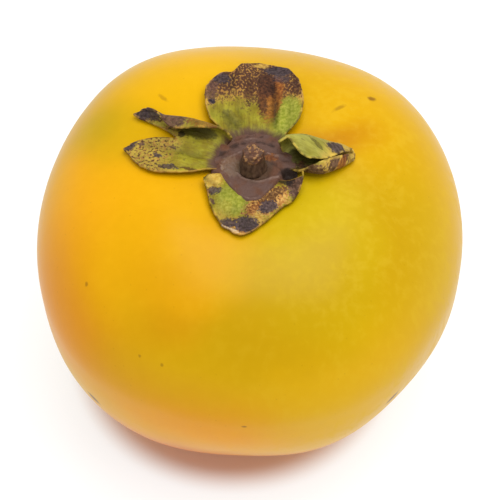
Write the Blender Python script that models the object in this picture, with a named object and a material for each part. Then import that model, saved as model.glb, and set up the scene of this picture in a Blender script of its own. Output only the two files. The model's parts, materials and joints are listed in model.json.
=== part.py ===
"""A ripe persimmon on its flat base, with its dried four-lobed calyx and the stub of its stem.

Lengths are in millimetres and angles in degrees; MM turns a finished mesh into Blender's metres.
The fruit's axis is Z, its base lies on Z = 0 and the calyx is on top. Azimuth 0 is +X, 90 is +Y.
"""

import math
from dataclasses import dataclass

import bmesh
import bpy
from mathutils import Vector

MM = 0.001

# The fruit: its reach from the middle of the equator is a superellipsoid with a few broad swells.
FRUIT_RADIUS = 38.8
CROWN_HEIGHT = 27.0
CROWN_POWER = 2.05
BASE_DEPTH = 38.0
BASE_POWER = 2.5
EQUATOR_HEIGHT = 37.0
CROWN_SIGHT = 25.0
FRUIT_MERIDIANS = 48
FRUIT_RINGS = 30

# The calyx: a leathery disc over the dip of the crown, with the stem's stub on it.
CALYX_CENTRE = Vector((0.8, -0.6, 0.0))
DISC_RADIUS = 7.1
DISC_BACK_BULGE = 0.8
DISC_BACK_AZIMUTH = 110.0
DISC_CORNER_BULGE = 0.4
DISC_CORNER_AZIMUTH = 50.0
DISC_TOP = 62.6
DISC_STEPS = 40
COLLAR_RADIUS = 5.9
COLLAR_RISE = 0.4
HUB_RADIUS = 2.6
HUB_BOTTOM = 60.5
STUB_BASE_RADIUS = 2.4
STUB_TOP_RADIUS = 1.8
STUB_HEIGHT = 4.6
STUB_SEGMENTS = 20
STUB_TOP_BEVEL = 0.6
STUB_LOBES = ((3, 0.05), (5, 0.03))
GAP = 0.3

# The sepals: thin sheets that start beside the disc and follow the crown a little above it.
SEPAL_THICKNESS = 0.6
SEPAL_ROWS = 12
SEPAL_COLUMNS = 20
SEPAL_BASE_CLEARANCE = 0.7
WIDEST_BASE = 0.98  # of the disc's reach, to each side of a sepal's midline
MOST_CURL = 180.0
SMOOTH_UP_TO = 50.0  # the sharpest turn between two faces that is shaded smooth


@dataclass
class Swell:
    """A broad rise of the fruit's skin, or a hollow where the height is negative."""

    azimuth: float
    elevation: float
    spread: float
    height: float

    def at(self, direction):
        """Rise of the skin along a unit direction from the middle of the equator."""
        level = math.cos(math.radians(self.elevation))
        middle = Vector((
            level * math.cos(math.radians(self.azimuth)),
            level * math.sin(math.radians(self.azimuth)),
            math.sin(math.radians(self.elevation)),
        ))
        away = math.degrees(middle.angle(direction))
        return self.height * math.exp(-0.5 * (away / self.spread) ** 2)


SWELLS = (
    Swell(azimuth=40, elevation=32, spread=20, height=3.0),
    Swell(azimuth=129, elevation=32, spread=20, height=3.5),
    Swell(azimuth=220, elevation=32, spread=20, height=2.2),
    Swell(azimuth=305, elevation=32, spread=20, height=1.8),
    Swell(azimuth=-44, elevation=-28, spread=16, height=-1.8),
    Swell(azimuth=-94, elevation=-33, spread=16, height=-2.0),
    Swell(azimuth=-37, elevation=88, spread=18, height=-4.2),
)


@dataclass
class Side:
    """One half of a sepal: its width from base to far edge, where it starts to curl, and how tightly."""

    width: tuple
    flat: tuple
    radius: tuple


@dataclass
class Sepal:
    """A sepal laid out flat about its own midline, then curled and laid over the crown.

    reach is the distance from the calyx's centre to the far edge, from the right side to the left.
    lift is the sheet's height over the skin, from base to far edge. fork is None, or the place and
    the spread of a split in the far edge: (row, column, left opening, right opening).
    """

    name: str
    azimuth: float
    reach: tuple
    lift: tuple
    left: Side
    right: Side
    fork: tuple | None = None


SEPALS = (
    Sepal(
        name="sepal_back",
        azimuth=90,
        reach=(20.4, 23.4, 24.2, 24.5, 23.8, 21.4, 18.2),
        lift=(1.7, 1.2, 1.0, 0.9, 0.8, 0.8),
        left=Side(width=(4.0, 7.0, 8.3, 8.8, 8.7, 8.0), flat=(3.0, 4.0), radius=(12.0, 14.0)),
        right=Side(width=(5.6, 8.2, 9.4, 9.6, 9.3, 8.2), flat=(4.0, 4.5), radius=(7.0, 14.0)),
    ),
    Sepal(
        name="sepal_left",
        azimuth=164,
        reach=(24.4, 24.9, 25.0),
        lift=(1.7, 1.2, 1.0, 0.9, 0.8, 0.8),
        left=Side(width=(2.6, 4.5, 5.5, 5.6, 4.2, 1.9), flat=(3.0, 3.0), radius=(20.0, 20.0)),
        right=Side(
            width=(8.0, 8.8, 8.8, 8.2, 8.2, 7.6),
            flat=(3.3, 3.7, 3.7, 3.7, 5.0, 5.9),
            radius=(1.9, 1.8, 1.6, 1.3, 1.1, 0.8),
        ),
        fork=(5, 8, 1.6, 3.8),
    ),
    Sepal(
        name="sepal_front",
        azimuth=262,
        reach=(3.4, 9.8, 12.3, 13.7, 14.4, 12.4, 9.6, 6.0, 1.6),
        lift=(1.7, 1.4, 1.0, 0.8),
        left=Side(width=(6.4, 8.6, 9.8), flat=(4.0, 4.0), radius=(6.0, 8.0)),
        right=Side(width=(6.4, 8.0, 9.0), flat=(3.0, 3.0), radius=(25.0, 25.0)),
    ),
    Sepal(
        name="sepal_right",
        azimuth=9,
        reach=(17.2, 18.4, 17.6),
        lift=(1.7, 1.2, 1.0, 0.9, 0.8, 0.8),
        left=Side(
            width=(8.2, 11.0, 9.6, 7.2, 5.4, 1.5),
            flat=(1.8, 2.2, 1.2, 0.4, 0.3, 0.1),
            radius=(2.4, 2.0, 1.9, 1.6, 1.3, 0.8),
        ),
        right=Side(
            width=(2.0, 3.4, 5.7, 5.6, 4.4, 1.2),
            flat=(1.2, 1.2, 1.4, 1.3, 0.9, 0.2),
            radius=(1.8, 1.4, 1.8, 1.6, 1.2, 0.8),
        ),
    ),
)


def skin(direction):
    """The point of the fruit's skin along a direction from the middle of the equator."""
    unit = direction.normalized()
    level = math.hypot(unit.x, unit.y)
    if unit.z > 0:
        height, power = CROWN_HEIGHT, CROWN_POWER
    else:
        height, power = BASE_DEPTH, BASE_POWER
    reach = ((level / FRUIT_RADIUS) ** power + (abs(unit.z) / height) ** power) ** (-1 / power)
    reach += sum(swell.at(unit) for swell in SWELLS)
    return unit * reach + Vector((0, 0, EQUATOR_HEIGHT))


def crown_point(x, y):
    """The point of the crown near a place in plan, seen from the middle of the equator."""
    return skin(Vector((x, y, CROWN_SIGHT)))


def over_crown(x, y, height):
    """A point at a height over the crown, measured square to the skin."""
    step = 0.5
    point = crown_point(x, y)
    normal = (crown_point(x + step, y) - point).cross(crown_point(x, y + step) - point)
    return point + normal.normalized() * height


def along(values, place):
    """A smooth curve through evenly spaced values, at a place from 0 to 1."""
    spot = place * (len(values) - 1)
    first = min(int(spot), len(values) - 2)
    part = spot - first
    before = values[max(first - 1, 0)]
    start, end = values[first], values[first + 1]
    after = values[min(first + 2, len(values) - 1)]
    return start + 0.5 * part * (
        end - before
        + part * (2 * before - 5 * start + 4 * end - after + part * (3 * (start - end) + after - before))
    )


def disc_reach(azimuth):
    """The disc's outline: rounder than a square, and wider at the back."""
    back = DISC_BACK_BULGE * math.cos(azimuth - math.radians(DISC_BACK_AZIMUTH))
    corners = DISC_CORNER_BULGE * math.cos(4 * (azimuth - math.radians(DISC_CORNER_AZIMUTH)))
    return DISC_RADIUS + back + corners


def curled(sepal, across, row):
    """Where a point of the flat sheet lies once its side is curled: (across, up)."""
    side = sepal.left if across > 0 else sepal.right
    start, radius = along(side.flat, row), along(side.radius, row)
    beyond = abs(across) - start
    if beyond <= 0:
        return across, 0.0
    turned = min(beyond / radius, math.radians(MOST_CURL))
    straight = beyond - turned * radius
    sideways = start + radius * math.sin(turned) + straight * math.cos(turned)
    up = radius * (1 - math.cos(turned)) + straight * math.sin(turned)
    return (sideways if across > 0 else -sideways), up


def spread_column(sepal, row, column):
    """How far a grid point lies from the midline on the flat sheet, positive to the left."""
    side = sepal.left if column > 0 else sepal.right
    return column * along(side.width, row)


def base_reach(turn, across):
    """How far out a sepal's base lies along its azimuth, just clear of the disc, at a place across it."""
    aside = 0.0
    for _ in range(5):
        edge = disc_reach(turn + aside) + SEPAL_BASE_CLEARANCE
        aside = math.asin(max(-WIDEST_BASE, min(WIDEST_BASE, across / edge)))
    return edge * math.cos(aside)


def sepal_point(sepal, row, column, beyond_fork):
    """A point of a sepal: row runs 0 to 1 from base to far edge, column -1 to 1 from right to left.

    beyond_fork is 0, or the side of the fork that the point is on: 1 for the left, -1 for the right.
    """
    across = spread_column(sepal, row, column)
    if beyond_fork:
        first_row, first_column, left_opening, right_opening = sepal.fork
        start = first_row / SEPAL_ROWS
        split = 2 * first_column / SEPAL_COLUMNS - 1
        opening = left_opening if beyond_fork > 0 else right_opening
        far_column = 1 if beyond_fork > 0 else -1
        opened = opening * (row - start) / (1 - start)
        across += beyond_fork * opened * (far_column - column) / (far_column - split)
    sideways, up = curled(sepal, across, row)
    turn = math.radians(sepal.azimuth)
    base = base_reach(turn, curled(sepal, spread_column(sepal, 0, column), 0)[0])
    out = base + row * (along(sepal.reach, (column + 1) / 2) - base)
    x = CALYX_CENTRE.x + out * math.cos(turn) - sideways * math.sin(turn)
    y = CALYX_CENTRE.y + out * math.sin(turn) + sideways * math.cos(turn)
    return over_crown(x, y, along(sepal.lift, row) + up)


def object_from(bm, name, material):
    """A smooth-shaded object from a bmesh in millimetres."""
    bmesh.ops.scale(bm, vec=(MM, MM, MM), verts=bm.verts)
    bmesh.ops.recalc_face_normals(bm, faces=bm.faces)
    mesh = bpy.data.meshes.new(name)
    bm.to_mesh(mesh)
    bm.free()
    mesh.shade_smooth()
    mesh.set_sharp_from_angle(angle=math.radians(SMOOTH_UP_TO))
    obj = bpy.data.objects.new(name, mesh)
    obj.data.materials.append(material)
    bpy.context.scene.collection.objects.link(obj)
    return obj


def finish(name, colour, roughness):
    """A plain material."""
    material = bpy.data.materials.new(name)
    material.use_nodes = True
    shader = material.node_tree.nodes["Principled BSDF"]
    shader.inputs["Base Color"].default_value = (*colour, 1.0)
    shader.inputs["Roughness"].default_value = roughness
    shader.inputs["Metallic"].default_value = 0.0
    return material


def build_fruit(material):
    """The fruit: a ball pushed out to the skin, cut flat where it stands."""
    bm = bmesh.new()
    bmesh.ops.create_uvsphere(bm, u_segments=FRUIT_MERIDIANS, v_segments=FRUIT_RINGS, radius=1.0)
    for vert in bm.verts:
        vert.co = skin(vert.co)
    geometry = bm.verts[:] + bm.edges[:] + bm.faces[:]
    bmesh.ops.bisect_plane(bm, geom=geometry, plane_co=(0, 0, 0), plane_no=(0, 0, -1), clear_outer=True)
    rim = [edge for edge in bm.edges if edge.is_boundary]
    bmesh.ops.contextual_create(bm, geom=rim)
    object_from(bm, "fruit", material)


def build_disc(material):
    """The disc: a turned profile with a raised collar, widened to its outline, on a hub in the dip."""
    profile = (
        (0.0, HUB_BOTTOM),
        (HUB_RADIUS, HUB_BOTTOM),
        (HUB_RADIUS + 0.8, HUB_BOTTOM + 0.7),
        (DISC_RADIUS - 0.8, DISC_TOP - 0.8),
        (DISC_RADIUS, DISC_TOP - 0.5),
        (DISC_RADIUS - 0.4, DISC_TOP - 0.1),
        (COLLAR_RADIUS + 0.2, DISC_TOP),
        (COLLAR_RADIUS - 0.2, DISC_TOP + COLLAR_RISE),
        (COLLAR_RADIUS - 1.0, DISC_TOP + COLLAR_RISE - 0.1),
        (COLLAR_RADIUS - 1.8, DISC_TOP),
        (0.0, DISC_TOP),
    )
    bm = bmesh.new()
    verts = [bm.verts.new((radius, 0, height)) for radius, height in profile]
    edges = [bm.edges.new(pair) for pair in zip(verts, verts[1:])]
    bmesh.ops.spin(
        bm,
        geom=verts + edges,
        cent=(0, 0, 0),
        axis=(0, 0, 1),
        angle=math.tau,
        steps=DISC_STEPS,
        use_merge=True,
    )
    bmesh.ops.remove_doubles(bm, verts=bm.verts, dist=0.001)
    for vert in bm.verts:
        radius = math.hypot(vert.co.x, vert.co.y)
        widened = disc_reach(math.atan2(vert.co.y, vert.co.x)) / DISC_RADIUS
        outer = min(max((radius - HUB_RADIUS) / (DISC_RADIUS - HUB_RADIUS), 0.0), 1.0)
        factor = 1 + (widened - 1) * outer
        vert.co.x *= factor
        vert.co.y *= factor
    bmesh.ops.translate(bm, verts=bm.verts, vec=CALYX_CENTRE)
    object_from(bm, "calyx_disc", material)


def build_stub(material):
    """The stub: a short tapered peg with a rounded, uneven top."""
    bm = bmesh.new()
    bmesh.ops.create_cone(
        bm,
        cap_ends=True,
        segments=STUB_SEGMENTS,
        radius1=STUB_BASE_RADIUS,
        radius2=STUB_TOP_RADIUS,
        depth=STUB_HEIGHT,
    )
    top_rim = [edge for edge in bm.edges if all(vert.co.z > 0 for vert in edge.verts)]
    bmesh.ops.bevel(
        bm,
        geom=top_rim,
        offset=STUB_TOP_BEVEL,
        offset_type="OFFSET",
        affect="EDGES",
        segments=2,
        profile=0.5,
        material=-1,
    )
    for vert in bm.verts:
        azimuth = math.atan2(vert.co.y, vert.co.x)
        swollen = 1 + sum(depth * math.cos(count * azimuth) for count, depth in STUB_LOBES)
        vert.co.x *= swollen
        vert.co.y *= swollen
    base = Vector((0, 0, DISC_TOP + GAP + STUB_HEIGHT / 2))
    bmesh.ops.translate(bm, verts=bm.verts, vec=CALYX_CENTRE + base)
    object_from(bm, "stem_stub", material)


def build_sepal(sepal, material):
    """A sepal: a grid mapped onto its curled sheet, split at its fork if it has one, and thickened."""
    bm = bmesh.new()
    bmesh.ops.create_grid(bm, x_segments=SEPAL_ROWS, y_segments=SEPAL_COLUMNS, size=1.0)
    if sepal.fork:
        start = 2 * sepal.fork[0] / SEPAL_ROWS - 1
        split = 2 * sepal.fork[1] / SEPAL_COLUMNS - 1
        slit = [
            edge
            for edge in bm.edges
            if all(abs(vert.co.y - split) < 1e-4 and vert.co.x > start - 1e-4 for vert in edge.verts)
        ]
        bmesh.ops.split_edges(bm, edges=slit)
    places = {}
    for vert in bm.verts:
        row, column = (vert.co.x + 1) / 2, vert.co.y
        beyond_fork = 0
        if sepal.fork and vert.co.x > start + 1e-4:
            middle = sum(face.calc_center_median().y for face in vert.link_faces) / len(vert.link_faces)
            beyond_fork = 1 if middle > split else -1
        places[vert] = sepal_point(sepal, row, column, beyond_fork)
    for vert, place in places.items():
        vert.co = place
    obj = object_from(bm, sepal.name, material)
    solid = obj.modifiers.new("Thickness", "SOLIDIFY")
    solid.thickness = SEPAL_THICKNESS * MM
    solid.offset = 0.0


def main():
    for obj in list(bpy.data.objects):
        bpy.data.objects.remove(obj, do_unlink=True)
    build_fruit(finish("fruit skin", (0.80, 0.42, 0.02), 0.35))
    build_disc(finish("calyx leather", (0.10, 0.055, 0.045), 0.5))
    build_stub(finish("stem wood", (0.08, 0.045, 0.03), 0.7))
    sepal_finish = finish("dry sepal", (0.30, 0.28, 0.06), 0.55)
    for sepal in SEPALS:
        build_sepal(sepal, sepal_finish)


main()
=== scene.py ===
"""The looks of a ripe persimmon: its waxy skin, its dried calyx, a pale floor and soft studio light.

Lengths are in millimetres and angles in degrees, unless a name says otherwise, and MM turns them into
metres. Azimuth 0 is +X and 90 is +Y, seen from above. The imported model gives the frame: where the fruit
stands, the calyx's heights and the nodes that the fine pieces here stand for.
"""

from __future__ import annotations

import json
import logging
import math
from dataclasses import dataclass, field
from enum import Enum

import bmesh
import bpy
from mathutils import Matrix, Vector, noise

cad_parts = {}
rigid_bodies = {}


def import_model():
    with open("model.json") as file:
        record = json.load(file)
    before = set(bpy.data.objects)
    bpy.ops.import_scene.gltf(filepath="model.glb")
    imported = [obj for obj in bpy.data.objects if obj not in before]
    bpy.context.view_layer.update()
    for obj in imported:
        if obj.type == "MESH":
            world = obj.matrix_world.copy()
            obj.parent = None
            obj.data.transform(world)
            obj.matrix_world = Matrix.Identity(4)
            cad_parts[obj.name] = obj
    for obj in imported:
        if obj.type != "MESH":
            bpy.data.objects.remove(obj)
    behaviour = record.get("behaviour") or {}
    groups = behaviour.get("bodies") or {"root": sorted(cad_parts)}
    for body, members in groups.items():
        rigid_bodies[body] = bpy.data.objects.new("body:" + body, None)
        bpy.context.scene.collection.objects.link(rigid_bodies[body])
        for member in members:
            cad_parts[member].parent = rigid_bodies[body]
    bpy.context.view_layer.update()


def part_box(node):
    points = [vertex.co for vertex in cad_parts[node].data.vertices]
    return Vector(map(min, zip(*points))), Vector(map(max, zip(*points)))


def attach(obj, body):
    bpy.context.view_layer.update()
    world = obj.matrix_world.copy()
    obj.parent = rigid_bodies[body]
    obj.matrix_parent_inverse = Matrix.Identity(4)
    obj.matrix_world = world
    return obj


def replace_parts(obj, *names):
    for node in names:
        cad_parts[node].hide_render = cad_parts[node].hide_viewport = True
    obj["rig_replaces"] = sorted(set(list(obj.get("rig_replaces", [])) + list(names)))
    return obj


MM = 0.001
BODY = "root"
STUDIO_LIGHT = 1.85  # how much brighter than its albedo a level surface looks in the studio
SAME_PLACE = 1e-4  # points nearer to each other than this are one
CALYX_CENTRE = (0.8, -0.6)
LOG = logging.getLogger("persimmon")

Colour = tuple[float, float, float]
Place = tuple[float, float]


def tint(red: int, green: int, blue: int) -> Colour:
    """A linear colour from display values of 0 to 255.

    Args:
        red: How much red it shows.
        green: How much green it shows.
        blue: How much blue it shows.

    Returns:
        The colour.
    """

    def linear(value: int) -> float:
        share = value / 255
        return share / 12.92 if share <= 0.04045 else ((share + 0.055) / 1.055) ** 2.4

    return linear(red), linear(green), linear(blue)


def lit(red: int, green: int, blue: int) -> Colour:
    """The linear albedo that looks like these display values under the studio's light."""
    return tuple(part / STUDIO_LIGHT for part in tint(red, green, blue))


def direction(azimuth: float, elevation: float) -> Vector:
    """The unit vector at an azimuth and an elevation.

    Args:
        azimuth: Its angle from +X towards +Y.
        elevation: Its angle over the level.

    Returns:
        The vector.
    """
    around, above = math.radians(azimuth), math.radians(elevation)
    level = math.cos(above)
    return Vector((level * math.cos(around), level * math.sin(around), math.sin(above)))


def along(values: tuple[float, ...], place: float) -> float:
    """A smooth curve through evenly spaced values.

    Args:
        values: The values that the curve passes through.
        place: Where to read the curve, from 0 at the first value to 1 at the last.

    Returns:
        The curve's value there.
    """
    spot = place * (len(values) - 1)
    first = max(min(int(spot), len(values) - 2), 0)
    part = spot - first
    before = values[max(first - 1, 0)]
    start, end = values[first], values[first + 1]
    after = values[min(first + 2, len(values) - 1)]
    return start + 0.5 * part * (
        end - before
        + part * (2 * before - 5 * start + 4 * end - after + part * (3 * (start - end) + after - before))
    )


def ease(value: float, low: float, high: float) -> float:
    """A smooth step from 0 at low to 1 at high."""
    share = min(max((value - low) / (high - low), 0.0), 1.0)
    return share * share * (3 - 2 * share)


def roughly(x: float, y: float, z: float, size: float) -> float:
    """Smooth noise from about -1 to 1 whose features are about a given size."""
    return noise.noise(Vector((x, y, z)) / size)


# ------------------------------------------------------------
# Shader language
# ------------------------------------------------------------


class Value:
    """A shader socket that arithmetic can be written on: each operation adds one Math node."""

    def __init__(self, graph: Graph, socket: bpy.types.NodeSocket) -> None:
        """Wraps a socket of a graph."""
        self.graph = graph
        self.socket = socket

    def __add__(self, other: Value | float) -> Value:
        """Adds a number or a value."""
        return self.graph.math("ADD", self, other)

    def __sub__(self, other: Value | float) -> Value:
        """Takes a number or a value away."""
        return self.graph.math("SUBTRACT", self, other)

    def __rsub__(self, other: float) -> Value:
        """Takes this value from a number."""
        return self.graph.math("SUBTRACT", other, self)

    def __mul__(self, other: Value | float) -> Value:
        """Multiplies by a number or a value."""
        return self.graph.math("MULTIPLY", self, other)

    __radd__ = __add__
    __rmul__ = __mul__

    def highest(self, other: Value | float) -> Value:
        """The larger of this value and another."""
        return self.graph.math("MAXIMUM", self, other)

    def step(self, low: float, high: float) -> Value:
        """A smooth step of this value, from 0 at low to 1 at high."""
        values = {"Value": self, "From Min": low, "From Max": high}
        return self.graph.value("ShaderNodeMapRange", {"interpolation_type": "SMOOTHSTEP"}, values, "Result")


class Graph:
    """A material's nodes, with the few kinds that these finishes use."""

    def __init__(self, name: str) -> None:
        """Starts a material that has only its main shader."""
        self.material = bpy.data.materials.new(name)
        self.material.use_nodes = True
        self.tree = self.material.node_tree
        self.shader = self.tree.nodes["Principled BSDF"]

    def node(self, kind: str, settings: dict[str, object], values: dict[str | int, object]) -> bpy.types.Node:
        """Adds a node.

        Args:
            kind: The node's type.
            settings: Its own settings, such as a Math node's operation, which are set first.
            values: What goes into its sockets, by name or number: a Value, or a plain setting.

        Returns:
            The node.
        """
        made = self.tree.nodes.new(kind)
        for name, setting in settings.items():
            setattr(made, name, setting)
        for socket, value in values.items():
            if isinstance(value, Value):
                self.tree.links.new(value.socket, made.inputs[socket])
            else:
                made.inputs[socket].default_value = value
        return made

    def value(self, kind: str, settings: dict, values: dict, output: str | int = 0) -> Value:
        """Adds a node, as node does, and gives one of its outputs."""
        return Value(self, self.node(kind, settings, values).outputs[output])

    def math(self, operation: str, first: Value | float, second: Value | float) -> Value:
        """Adds a Math node."""
        return self.value("ShaderNodeMath", {"operation": operation}, {0: first, 1: second})

    def vector(self, operation: str, first: Value, second: Value | Vector | tuple) -> Value:
        """Adds a Vector Math node on two vectors."""
        return self.value("ShaderNodeVectorMath", {"operation": operation}, {0: first, 1: second})

    def scaled(self, vector: Value, factor: Value | float) -> Value:
        """A vector made longer, or a colour made lighter, by a factor."""
        return self.value("ShaderNodeVectorMath", {"operation": "SCALE"}, {0: vector, "Scale": factor})

    def stretched(self, vector: Value, factors: tuple[float, float, float]) -> Value:
        """A vector times a factor along each axis; a pattern read there is long where the factor is small."""
        return self.vector("MULTIPLY", vector, factors)

    def length(self, vector: Value) -> Value:
        """A vector's length."""
        return self.value("ShaderNodeVectorMath", {"operation": "LENGTH"}, {0: vector}, "Value")

    def part(self, vector: Value, axis: str) -> Value:
        """One of a vector's components, X, Y or Z."""
        return self.value("ShaderNodeSeparateXYZ", {}, {0: vector}, axis)

    def mix(self, mask: Value | float, first: Value | Colour, second: Value | Colour) -> Value:
        """Mixes two colours.

        Args:
            mask: How much of the second colour there is, from 0 to 1.
            first: The colour where the mask is 0.
            second: The colour where it is 1.

        Returns:
            The mixed colour.
        """
        values = {
            index: (*colour, 1.0) if isinstance(colour, tuple) else colour
            for index, colour in ((6, first), (7, second))
        }
        return self.value("ShaderNodeMix", {"data_type": "RGBA"}, {0: mask, **values}, 2)

    def objects_own(self) -> Value:
        """The place on the piece, in millimetres of the shared frame."""
        return self.scaled(self.value("ShaderNodeTexCoord", {}, {}, "Object"), 1 / MM)

    def attribute(self, name: str, output: str) -> Value:
        """One of the piece's own attributes, as a Fac or a Vector."""
        return self.value("ShaderNodeAttribute", {"attribute_name": name}, {}, output)

    def placed(self, vector: Value, centre: Vector, half_sizes: tuple, turn: tuple) -> Value:
        """Measures a vector in a frame of its own, so that an ellipsoid there has a length of 1.

        Args:
            vector: The vector.
            centre: The frame's middle.
            half_sizes: The lengths of the frame's units along its axes.
            turn: How the frame is turned about X, Y and Z.

        Returns:
            The vector in that frame.
        """
        turned = tuple(math.radians(angle) for angle in turn)
        values = {"Vector": vector, "Location": centre, "Rotation": turned, "Scale": half_sizes}
        return self.value("ShaderNodeMapping", {"vector_type": "TEXTURE"}, values)

    def noise(self, vector: Value, size: float, detail: float = 2.0, roughness: float = 0.5) -> Value:
        """Soft noise from 0 to 1, with its mean at a half.

        Args:
            vector: Where it is read, in millimetres.
            size: The size of its features, in millimetres.
            detail: How many finer layers it has.
            roughness: How strong the finer layers are.

        Returns:
            The noise.
        """
        values = {"Vector": vector, "Scale": 1 / size, "Detail": detail, "Roughness": roughness}
        return self.value("ShaderNodeTexNoise", {}, values, "Fac")

    def warped(self, vector: Value, size: float, amount: float) -> Value:
        """Pushes a vector about by noise, so that what is drawn on it has uneven edges.

        Args:
            vector: The vector.
            size: The size of the noise's features, in millimetres.
            amount: The furthest that it is pushed each way.

        Returns:
            The pushed vector.
        """
        values = {"Vector": vector, "Scale": 1 / size, "Detail": 2.0}
        clouds = self.value("ShaderNodeTexNoise", {}, values, "Color")
        centred = self.vector("SUBTRACT", clouds, (0.5, 0.5, 0.5))
        return self.vector("ADD", vector, self.scaled(centred, 2 * amount))

    def dots(self, vector: Value, spacing: float, radius: float, share: float) -> Value:
        """Scattered round dots.

        Args:
            vector: Where they are read, in millimetres.
            spacing: The distance between neighbouring dots.
            radius: A dot's radius.
            share: The share of the dots that show.

        Returns:
            A mask that is 1 in the dots and 0 between them.
        """
        cells = self.node("ShaderNodeTexVoronoi", {}, {"Vector": vector, "Scale": 1 / spacing})
        near = 1 - Value(self, cells.outputs["Distance"]).step(0.5 * radius / spacing, radius / spacing)
        chosen = self.part(Value(self, cells.outputs["Color"]), "X")
        return near * self.math("LESS_THAN", chosen, share)

    def bumped(self, height: Value, depth: float) -> Value:
        """A normal from a height, whose full range stands for a depth in millimetres."""
        values = {"Height": height, "Distance": depth * MM}
        return self.value("ShaderNodeBump", {}, values, "Normal")

    def shade(self, links: dict[str, Value], constants: dict[str, object]) -> bpy.types.Material:
        """Joins values to the main shader's sockets and sets what is the same all over.

        Args:
            links: What varies over the surface.
            constants: What doesn't.

        Returns:
            The finished material.
        """
        for socket, value in links.items():
            self.tree.links.new(value.socket, self.shader.inputs[socket])
        for socket, constant in constants.items():
            self.shader.inputs[socket].default_value = constant
        return self.material


# ------------------------------------------------------------
# Meshes
# ------------------------------------------------------------


@dataclass
class Mould:
    """A bmesh in millimetres that becomes a finished piece of the object."""

    name: str
    slot: str
    replaces: str
    bm: bmesh.types.BMesh = field(default_factory=bmesh.new)
    floats: dict[str, dict] = field(default_factory=dict)
    vectors: dict[str, dict] = field(default_factory=dict)

    def turn(self, profile: list[Place], steps: int) -> None:
        """Spins a profile once round the Z axis and closes its seam and poles.

        Args:
            profile: Its points, as (radius, height).
            steps: How many steps make the round.
        """
        verts = [self.bm.verts.new((radius, 0, height)) for radius, height in profile]
        edges = [self.bm.edges.new(pair) for pair in zip(verts, verts[1:])]
        bmesh.ops.spin(
            self.bm,
            geom=verts + edges,
            cent=(0, 0, 0),
            axis=(0, 0, 1),
            angle=math.tau,
            steps=steps,
            use_merge=True,
        )
        bmesh.ops.remove_doubles(self.bm, verts=self.bm.verts, dist=SAME_PLACE)

    def finish(self, material: bpy.types.Material) -> bpy.types.Object:
        """Makes the piece, in metres, on the body and in the place of its CAD node.

        Args:
            material: What it is dressed with.

        Returns:
            The finished object.
        """
        self.bm.verts.index_update()
        bmesh.ops.scale(self.bm, vec=(MM, MM, MM), verts=self.bm.verts)
        bmesh.ops.recalc_face_normals(self.bm, faces=self.bm.faces)
        order = list(self.bm.verts)
        mesh = bpy.data.meshes.new(self.name)
        self.bm.to_mesh(mesh)
        for name, values in self.floats.items():
            attribute = mesh.attributes.new(name, "FLOAT", "POINT")
            attribute.data.foreach_set("value", [values[vert] for vert in order])
        for name, values in self.vectors.items():
            attribute = mesh.attributes.new(name, "FLOAT_VECTOR", "POINT")
            attribute.data.foreach_set("vector", [part for vert in order for part in values[vert]])
        self.bm.free()
        mesh.shade_smooth()
        obj = bpy.data.objects.new(self.name, mesh)
        obj.data.materials.append(material)
        bpy.context.scene.collection.objects.link(obj)
        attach(obj, BODY)
        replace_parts(obj, self.replaces)
        return obj


def report(obj: bpy.types.Object) -> None:
    """Logs a finished piece and how far its box is from its CAD node's.

    Args:
        obj: The piece.
    """
    bpy.context.view_layer.update()
    low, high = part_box(obj["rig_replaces"][0])
    shaped = obj.evaluated_get(bpy.context.evaluated_depsgraph_get())
    corners = [Vector(corner) for corner in shaped.bound_box]
    furthest = max(
        max(abs(min(corner[axis] for corner in corners) - low[axis]) for axis in range(3)),
        max(abs(max(corner[axis] for corner in corners) - high[axis]) for axis in range(3)),
    )
    faces = len(shaped.data.polygons)
    LOG.info("%s: %d faces, box within %.2f mm of its CAD node's", obj.name, faces, furthest / MM)


# ------------------------------------------------------------
# The fruit
# ------------------------------------------------------------


@dataclass(frozen=True)
class Swell:
    """A broad rise of the fruit's skin, or a hollow where the height is negative."""

    azimuth: float
    elevation: float
    spread: float
    height: float

    def at(self, unit: Vector) -> float:
        """Rise of the skin along a unit direction from the middle of the equator."""
        away = math.degrees(direction(self.azimuth, self.elevation).angle(unit))
        return self.height * math.exp(-0.5 * (away / self.spread) ** 2)


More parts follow.
